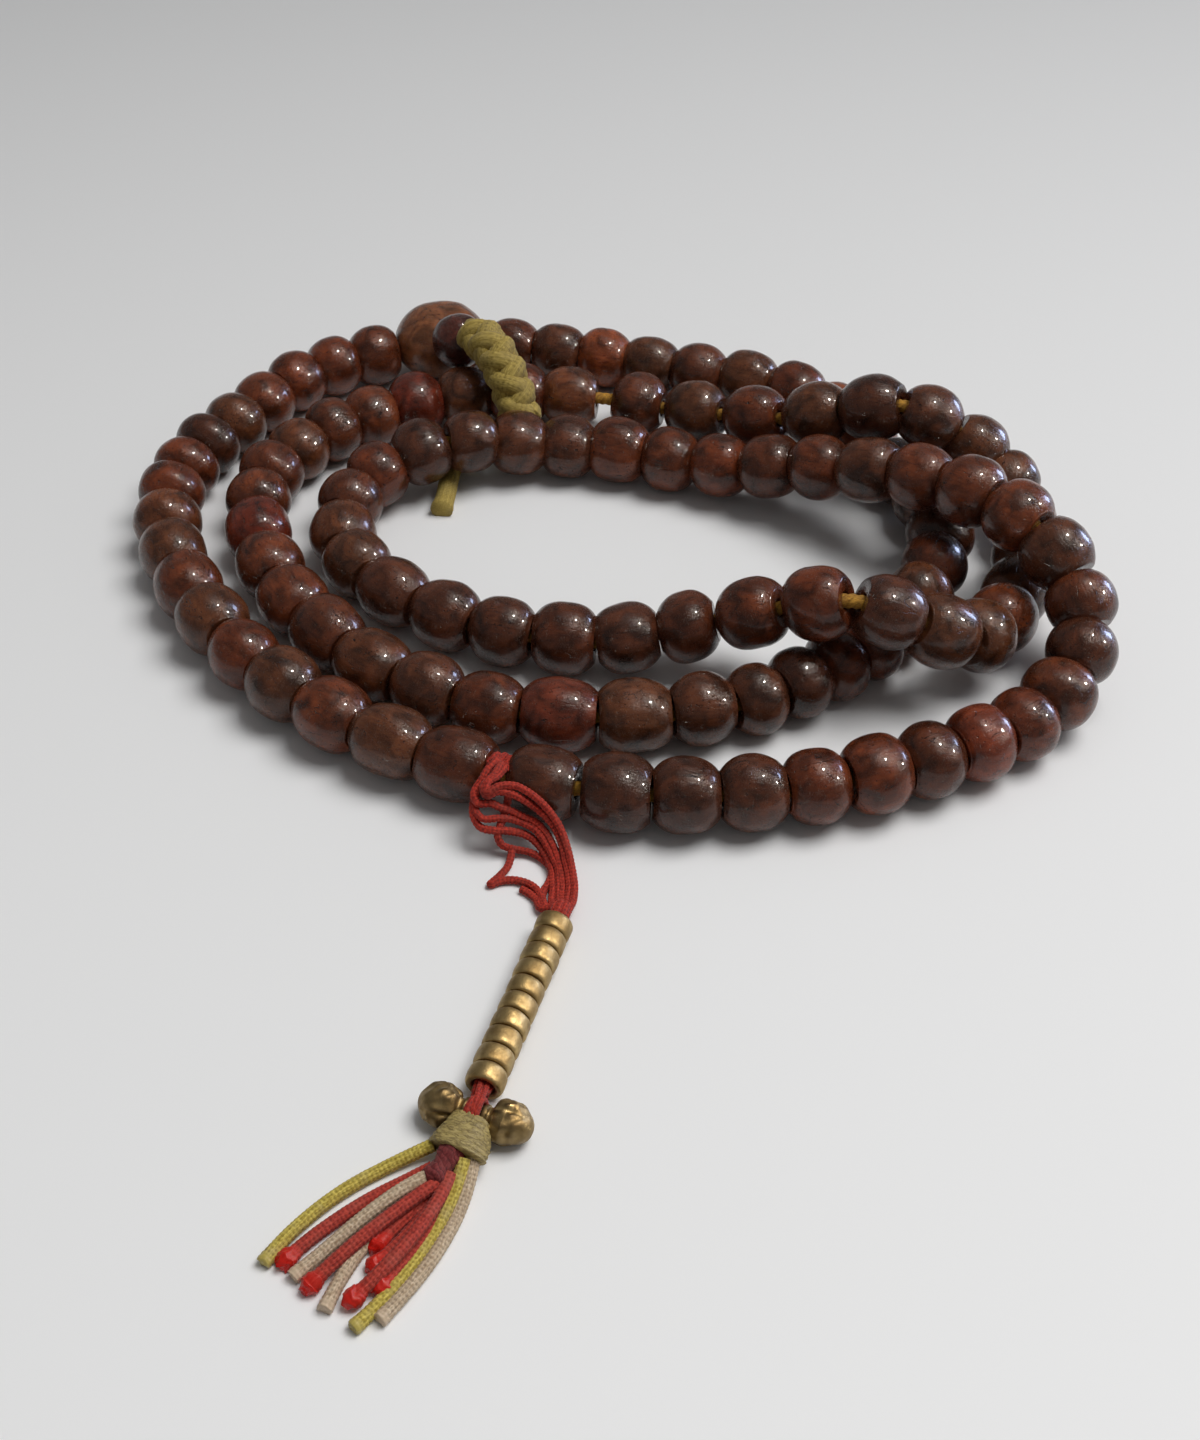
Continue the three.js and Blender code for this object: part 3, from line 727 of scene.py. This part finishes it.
def make_bead(bead, material):
    rng = np.random.default_rng(900 + bead)
    start, end = bead_ends(bead)
    middle = (start + end) / 2
    half = np.linalg.norm(end - start) / 2 - BEAD_GAP / 2
    radius, face = rng.uniform(*BEAD_RADIUS), rng.uniform(*BEAD_FACE)
    if bead in SLIDING_BEADS:
        half -= LOOSE_CLEARANCE
        face = BEAD_FACE[0]
    elif bead in HITCH_BEADS:
        face = BEAD_FACE[1]
    outline = bead_outline(half, radius, face, rng.uniform(2.05, 2.5), 26)
    part = lathe(outline, 56)
    part = worn(part, rng, radius, 5)
    part = (part[0], part[1], part[2] + rng.uniform(-SPREAD_OF_LAY, SPREAD_OF_LAY, 3), part[3])
    part = place(part, end - start, middle, rng.uniform(0, 2 * math.pi))
    part = settled(part, middle[2])
    tint = np.array(SPECIAL_TINTS.get(bead, BEAD_TINTS[rng.integers(len(BEAD_TINTS))]))
    tint = tint * rng.uniform(0.66, 0.96)
    node_name = bead_node(bead)
    body = node_name if node_name in frame["bodies"] else "strand"
    return piece(f"prayer_bead_{bead:03d}", [part], material, [node_name], body, tint)


def make_guru(material):
    rng = np.random.default_rng(7)
    low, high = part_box("guru_bead")
    turn = np.linspace(0, math.pi, 60)
    middle = np.array((*((np.array(low) + np.array(high)) / 2)[:2], GURU_HALF))
    line = middle + np.outer(-np.cos(turn) * GURU_HALF, (0, 0, 1))
    radius = GURU_RADIUS * np.maximum(np.sin(turn), 0.02) ** 0.86
    vertices, faces, lay, tips = tube(line, radius, 96)
    change = wobble(vertices, rng, 0.012, 0.00012) + wobble(vertices, rng, 0.004, 0.00004)
    part = (vertices + change[:, None], faces, lay, tips)
    return piece("guru_bead_wood", [part], material, ["guru_bead"], tint=(0.16, 0.072, 0.036))


def make_neck(material, braid_start):
    rng = np.random.default_rng(8)
    low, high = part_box("neck_bead")
    middle = (np.array(low) + np.array(high)) / 2
    part = worn(lathe(bead_outline(NECK_HALF, NECK_RADIUS, NECK_FACE, 2.2, 34), 64), rng, NECK_RADIUS, 3)
    part = place(part, braid_start - middle, middle)
    return piece("neck_bead_wood", [part], material, ["neck_bead"], tint=(0.07, 0.022, 0.018))


# ---- Strings and cords ----
def ply(count, pitch, depth):
    """Relief of a rope laid from a few plies."""
    def relief(turn, run):
        angle = count / 2 * (turn - 2 * math.pi * run / pitch)
        return 1 - depth + depth * np.abs(np.cos(angle))
    return relief


def woven(across, pitch, depth):
    """Relief of a round braided cord: a lattice of small bumps."""
    def relief(turn, run):
        u = turn * across / (2 * math.pi)
        v = run / pitch
        return 1 + depth * np.sin(math.pi * (u + v)) * np.sin(math.pi * (u - v))
    return relief


def make_string(material):
    line = resample([string_point(0.25 * k) for k in range(4 * BEAD_COUNT + 1)], 0.32 * MM)
    part = tube(line, STRING_RADIUS, 16, ply(3, 3.4 * MM, 0.2))
    return piece("golden_main_string", [part], material, ["main_string"])


def make_braid(material):
    line = smooth(BRAID_ROUTE, 0.12 * MM)
    _, side, up = carried(line)
    run = np.linspace(0, 1, len(line)) * 0.12 * MM * (len(line) - 1)
    phase = 2 * math.pi * run / BRAID_PERIOD
    parts = []
    for strand in range(4):
        sense = 1 if strand % 2 == 0 else -1
        angle = sense * phase + strand // 2 * math.pi + (0 if sense == 1 else math.pi / 2)
        reach = BRAID_CIRCLE + sense * BRAID_WEAVE * np.sin(2 * phase)
        middle = line + side * (reach * np.cos(angle))[:, None] + up * (reach * np.sin(angle))[:, None]
        parts.append(tube(middle, BRAID_STRAND, 22, woven(10, 0.5 * MM, 0.05), lay_shift=strand * 20.0))
    return piece("yellow_plait", parts, material, ["string_braid"])


def make_tail(material):
    line = smooth(TAIL_ROUTE, 0.1 * MM)
    share = np.linspace(0, 1, len(line))
    radius = TAIL_RADIUS * (1 + 0.16 * np.exp(-((1 - share) / 0.05) ** 2))
    tip = np.clip((share - 0.95) / 0.05, 0, 1) * 0.3
    part = tube(line, radius, 30, woven(12, 0.42 * MM, 0.07), tip=tip, flat=0.92)
    return piece("yellow_tail", [part], material, ["string_tail"])


def stack_point(share):
    return STACK_TOP + STACK_RUN * share


def stack_sides():
    along = unit(STACK_RUN)
    across = unit(np.cross((0, 0, 1), along))
    return along, across


def through_rings(name):
    """A red strand's points through the rings, past the vajra's waist and into the wrap, top first."""
    along, across = stack_sides()
    order = list(ACROSS_WAIST).index(name)
    angle = 2 * math.pi * order / STRANDS_IN_BORE
    spread = BORE_CIRCLE if order < STRANDS_IN_BORE else 0
    offset = spread * (across * math.cos(angle) + np.array((0, 0, 1)) * math.sin(angle))
    points = [stack_point(share) + offset for share in RINGS_PASSED]
    sideways, level = ACROSS_WAIST[name]
    waist = VAJRA_MIDDLE + across * sideways * MM + np.array((0, 0, level * 1.75 * MM))
    wrap_start = VAJRA_MIDDLE + along * 2.6 * MM + across * sideways * 0.6 * MM
    wrap_start = wrap_start + np.array((0, 0, level * 0.7 * MM))
    return [tuple(p) for p in (*points, waist, wrap_start)]


def over_string(name, outward):
    """A red strand's turn over the string, down behind it and under it."""
    string, along = string_point(17) - ORIGIN, unit(string_point(17.1) - string_point(16.9))
    behind = unit(np.cross((0, 0, 1), along))
    shift, reach = RED_TURNS[name]
    angles = (100, 60, 20, -20, -60, -100, -135)
    turn = [math.radians(a) for a in angles]
    points = []
    for angle in turn:
        outwards = behind * math.cos(angle) + np.array((0, 0, math.sin(angle)))
        points.append(string + along * shift + reach * outwards)
    return [tuple(p) for p in (points if outward else points[::-1])]


def cord_radius(line, top):
    """Full outside the rings and pressed thin inside them."""
    share = (line - ORIGIN - top) @ unit(STACK_RUN)
    inside = np.clip((share + 1.2 * MM) / (2.0 * MM), 0, 1)
    return CORD_RADIUS + (CORD_IN_BORE - CORD_RADIUS) * inside


def make_red(name, route, material, end):
    line = smooth(route, 0.09 * MM)
    top = STACK_TOP - unit(STACK_RUN) * RING_LENGTH / 2
    part = tube(line, cord_radius(line, top), 26, woven(6, 0.5 * MM, 0.12), lay_shift=17.0 * len(name))
    replaced = ["carrier_loose_loop"] if end == "bare" or "loop" in name else ["carrier_cord"]
    made = piece(name, [part], material, replaced)
    return made


def make_red_cords(material):
    for first, second in RED_BIGHTS:
        up = through_rings(first)[::-1] + RED_SWEEP[first][::-1] + RED_FOLDS[first][::-1]
        down = RED_FOLDS[second] + RED_SWEEP[second] + through_rings(second)
        route = up + over_string(first, True) + over_string(second, False) + down
        make_red(f"red_strand_{first}{second}".lower(), route, material, "object")
    make_red("red_loop", through_rings("G")[::-1] + RED_SWEEP["G"][::-1], material, "object")
    make_red("red_loose_end", through_rings("H")[::-1] + RED_SWEEP["H"][::-1], material, "bare")


# ---- Counter ----
def make_rings(material):
    for index in range(10):
        rng = np.random.default_rng(40 + index)
        power = rng.uniform(2.7, 3.6)
        half = RING_LENGTH / 2 * rng.uniform(0.96, 1.0)
        wall = (RING_RADIUS - RING_BORE) / 2
        outline = []
        for angle in np.linspace(0, 2 * math.pi, 36, endpoint=False):
            c, s = math.cos(angle), math.sin(angle)
            outline.append((half * math.copysign(abs(c) ** (2 / power), c),
                            RING_BORE + wall + wall * math.copysign(abs(s) ** (2 / power), s)))
        vertices, faces, lay, tips = lathe(outline, 60)
        change = wobble(vertices, rng, 0.003, 0.00004) + wobble(vertices, rng, 0.0009, 0.00001)
        vertices = vertices * (1 + (change / RING_RADIUS)[:, None])
        part = (vertices, faces, lay + rng.uniform(-90, 90, 3), tips)
        name = f"counter_ring_{index + 1:02d}"
        low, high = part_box(name)
        part = place(part, STACK_RUN, (np.array(low) + np.array(high)) / 2, rng.uniform(0, 6))
        piece(f"brass_ring_{index + 1:02d}", [part], material, [name], name)


VAJRA_SIDE = (
    (0.0, 0.0011), (0.0006, 0.00112), (0.0009, 0.0014), (0.0013, 0.00142), (0.0016, 0.00118),
    (0.0019, 0.00125), (0.0021, 0.0018), (0.0024, 0.00215), (0.003, 0.00232), (0.0038, 0.00238),
    (0.0046, 0.00228), (0.0053, 0.00198), (0.0059, 0.00148), (0.0063, 0.0009), (0.0065, 0.0003),
)


def make_vajra(material):
    """A dumbbell of two worn lotus buds on a ribbed waist."""
    rng = np.random.default_rng(5)
    side = (smooth([(x, r, 0) for x, r in VAJRA_SIDE], VAJRA_STEP) - ORIGIN)[:, :2]
    outline = [(-x, r) for x, r in side[::-1]] + [(x, r) for x, r in side[1:]]
    line = np.array([(x, 0, 0) for x, _ in outline])
    radius = np.array([r for _, r in outline])
    vertices, faces, lay, tips = tube(line, radius, 88)
    turn = np.arctan2(vertices[:, 2], vertices[:, 1])
    along = np.abs(vertices[:, 0])
    bud = np.clip((along - 0.0018) / 0.0006, 0, 1) * np.clip((0.0058 - along) / 0.002, 0, 1)
    petal = -0.13 * bud * np.exp(-((np.sin(1.5 * turn + np.sign(vertices[:, 0]) * 0.9)) / 0.2) ** 2)
    torn = -0.24 * np.clip((0.0034 - along) / 0.0014, 0, 1) * np.clip((along - 0.0019) / 0.0003, 0, 1)
    torn = torn * np.clip(np.sin(3 * turn + 1.2 * np.sign(vertices[:, 0])) * 1.6, 0, 1)
    change = wobble(vertices, rng, 0.003, 0.06) + wobble(vertices, rng, 0.0013, 0.03)
    scale = 1 + petal + torn + change
    vertices = vertices * np.stack([np.ones(len(turn)), scale, scale], axis=1)
    part = place((vertices, faces, lay, tips), VAJRA_ALONG, VAJRA_MIDDLE + ORIGIN)
    return piece("brass_vajra", [part], material, ["vajra"])


def make_lashing(material):
    """Three turns of red strand round the waist, beside the strands that cross it."""
    rail = unit(VAJRA_ALONG)
    other = np.cross(rail, (0, 0, 1))
    points = []
    for step in range(LASHING_STEPS + 1):
        share = step / LASHING_STEPS
        angle = 2 * math.pi * LASHING_TURNS * share
        reach = LASHING_REACH + LASHING_WAVER * math.sin(2.3 * angle)
        outwards = other * math.cos(angle) + np.array((0, 0, math.sin(angle)))
        points.append(VAJRA_MIDDLE + rail * (share - 0.5) * LASHING_WIDTH + reach * outwards)
    part = tube(smooth([tuple(p) for p in points], 0.11 * MM), 0.36 * MM, 16, woven(6, 0.5 * MM, 0.12))
    return piece("red_lashing", [part], material, ["vajra_lashing"])


def make_wrap(material):
    """Waxed thread bound over the tassel's head: spiral ridges, creases and a wide open mouth."""
    rng = np.random.default_rng(12)
    line = smooth(WRAP_ROUTE, 0.05 * MM)
    share = np.linspace(0, 1, len(line))
    top = 0.35 * np.clip((0.1 - share) / 0.1, 0, 1) ** 2
    mouth = 0.12 * np.clip((share - 0.93) / 0.07, 0, 1) ** 2
    radius = (WRAP_RADIUS + WRAP_FLARE * share ** 0.8) * (1 - top - mouth)

    def ridges(turn, run):
        return 1 + 0.02 * np.cos(2 * math.pi * run / WRAP_PITCH + turn)

    part = tube(line, radius, 84, ridges, flat=0.66)
    vertices, faces, lay, tips = part
    middle = vertices.mean(0)
    change = wobble(vertices, rng, 0.003, 0.03) + wobble(vertices * (1, 1.6, 1), rng, 0.0009, 0.018)
    vertices = middle + (vertices - middle) * (1 + change[:, None] * (1, 0.3, 0.8))
    vertices[:, 2] = np.maximum(vertices[:, 2], ABOVE_FLOOR)
    part = (vertices, faces, lay, tips)
    return piece("waxed_tassel_wrap", [part], material, ["tassel_wrap"])


def make_core(material):
    """The knot of maroon thread that shows below the wrap."""
    rng = np.random.default_rng(14)
    line = smooth(CORE_ROUTE, 0.06 * MM)
    share = np.linspace(0, 1, len(line))
    closing = 0.55 * MM * np.clip((share - 0.8) / 0.2, 0, 1) ** 2
    radius = CORE_RADIUS + 0.2 * MM * np.sin(9 * share) - closing
    vertices, faces, lay, tips = tube(line, radius, 60, ply(5, 3.0 * MM, 0.05), flat=0.95)
    vertices = vertices + (wobble(vertices, rng, 0.0014, 0.00016)[:, None] * unit((1, 1, 1)))
    vertices[:, 2] = np.maximum(vertices[:, 2], ABOVE_FLOOR)
    part = (vertices, faces, lay, tips)
    return piece("maroon_tassel_knot", [part], material, ["tassel_core"])


def make_tassel(finishes):
    for order, (name, route) in enumerate(TASSEL.items()):
        rng = np.random.default_rng(60 + order)
        start = tuple(np.array(route[0]) * 0.6 + TASSEL_ROOT * 0.4)
        line = eased([start, *route], 0.1 * MM)
        left = np.linspace(len(line) - 1, 0, len(line)) * 0.1
        tip = np.clip(1 - left / (2.6 if "red" in name else 1.0), 0, 1) ** 0.5
        swell = 0.1 * np.exp(-((left - 0.5) / 0.7) ** 2)
        kind = name.split("_")[1]
        if kind == "red":
            swell = 0.5 * np.exp(-((left - 1.0) / 0.8) ** 2) - 0.35 * np.exp(-((left / 0.35) ** 2))
        radius = TASSEL_RADIUS * (1 + swell)
        part = tube(line, radius, 34, woven(8, 0.5 * MM, 0.07), tip=tip, lay_shift=31.0 * order)
        vertices, faces, lay, tips = part
        lump = wobble(vertices, rng, 0.0011, 0.00028 if kind == "red" else 0.0001)
        vertices = vertices + (lump * tips[:, 0])[:, None] * (0.7, 0.4, 0.6)
        vertices[:, 2] = np.maximum(vertices[:, 2], 0.00004)
        piece(f"cord_of_{name}", [(vertices, faces, lay, tips)], finishes[kind], [name])


# ---- Set: camera, floor and light ----
def set_camera():
    camera = bpy.data.objects.new("camera", bpy.data.cameras.new("camera"))
    camera.location = ORIGIN + CAMERA_PLACE
    camera.rotation_euler = (CAMERA_TILT, 0, 0)
    camera.data.sensor_width = CAMERA_SENSOR
    camera.data.lens = CAMERA_LENS
    camera.data.clip_start = 0.01
    bpy.context.scene.collection.objects.link(camera)
    bpy.context.scene.camera = camera


def set_floor():
    bpy.ops.mesh.primitive_plane_add(size=FLOOR_SIDE)
    floor = bpy.context.object
    floor.name = "pale_floor"
    floor.data.materials.append(pale_floor())


def area_light(name, direction, distance, size, watts, colour, use="both"):
    """An area light aimed at the beads, for soft light, for highlights in the polish, or for both."""
    lamp = bpy.data.lights.new(name, "AREA")
    lamp.shape = "RECTANGLE"
    lamp.size, lamp.size_y = size
    lamp.energy = watts
    lamp.color = colour
    made = bpy.data.objects.new(name, lamp)
    aim = unit(direction)
    made.location = ORIGIN + LIT_POINT + aim * distance
    made.rotation_euler = Vector(aim).to_track_quat("Z", "Y").to_euler()
    made.visible_glossy = use != "soft"
    made.visible_diffuse = use != "polish"
    bpy.context.scene.collection.objects.link(made)


def set_lights():
    warm, cool, neutral = (1.0, 0.92, 0.82), (0.55, 0.66, 1.0), (1.0, 1.0, 1.0)
    area_light("lamp_high", (0.36, 0.04, 0.93), 0.9, (0.06, 0.045), 6.8, warm, "polish")
    area_light("lamp_side", (0.86, -0.02, 0.51), 0.9, (0.05, 0.07), 4.6, warm, "polish")
    area_light("window", (0.87, 0.48, 0.2), 1.1, (0.22, 0.34), 6.0, cool, "polish")
    area_light("ceiling", (0.1, 0.35, 0.93), 1.2, (0.7, 0.7), 0.6, neutral)
    area_light("soft_key", (0.41, 0.06, 0.91), 1.05, (0.6, 0.6), 8.5, neutral, "soft")
    world = bpy.data.worlds.new("soft_studio")
    world.use_nodes = True
    world.node_tree.nodes["Background"].inputs["Color"].default_value = (1, 1, 1, 1)
    world.node_tree.nodes["Background"].inputs["Strength"].default_value = SKY_STRENGTH
    bpy.context.scene.world = world
    bpy.context.scene.view_settings.view_transform = "Standard"


# ---- The scene ----
guru_low, guru_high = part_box("guru_bead")
guru_middle = (np.array(guru_low) + np.array(guru_high)) / 2
ORIGIN = np.array((*(guru_middle[:2] - GURU_MIDDLE), 0))
set_camera()

red = thread("red_braid", (0.21, 0.010, 0.006), (0.57, 0.050, 0.028), grime=(0.20, 0.030, 0.02))
make_red_cords(red)
make_string(thread("golden_twist", (0.28, 0.12, 0.015), (0.62, 0.33, 0.05), grime=(0.2, 0.1, 0.03)))
yellow = thread("yellow_braid", (0.26, 0.18, 0.030), (0.50, 0.37, 0.10), grime=(0.24, 0.18, 0.07))
make_braid(yellow)
make_tail(yellow)

bead_wood = wood("bead_wood", (0.62, 0.5, 0.46))
for bead_number in range(1, BEAD_COUNT + 1):
    make_bead(bead_number, bead_wood)
make_guru(wood("guru_wood", (0.8, 0.6, 0.5)))
make_neck(wood("neck_wood", (0.6, 0.45, 0.4)), np.array(BRAID_ROUTE[0]) + ORIGIN)

old_brass = brass("aged_brass")
make_rings(old_brass)
make_vajra(old_brass)
make_lashing(red)
make_wrap(waxed("waxed_thread"))
make_core(thread("maroon_knot", (0.11, 0.012, 0.014), (0.24, 0.04, 0.04), grime=(0.16, 0.07, 0.06)))
tassel_finishes = {
    "yellow": thread("tassel_yellow", (0.36, 0.26, 0.03), (0.72, 0.58, 0.13), (0.48, 0.38, 0.1),
                     grime=(0.46, 0.37, 0.18)),
    "beige": thread("tassel_beige", (0.40, 0.28, 0.17), (0.72, 0.58, 0.42), (0.60, 0.46, 0.32),
                    grime=(0.38, 0.27, 0.17)),
    "red": thread("tassel_red", (0.28, 0.020, 0.013), (0.56, 0.070, 0.045), (0.60, 0.012, 0.006),
                  grime=(0.42, 0.10, 0.07)),
}
make_tassel(tassel_finishes)

set_floor()
set_lights()
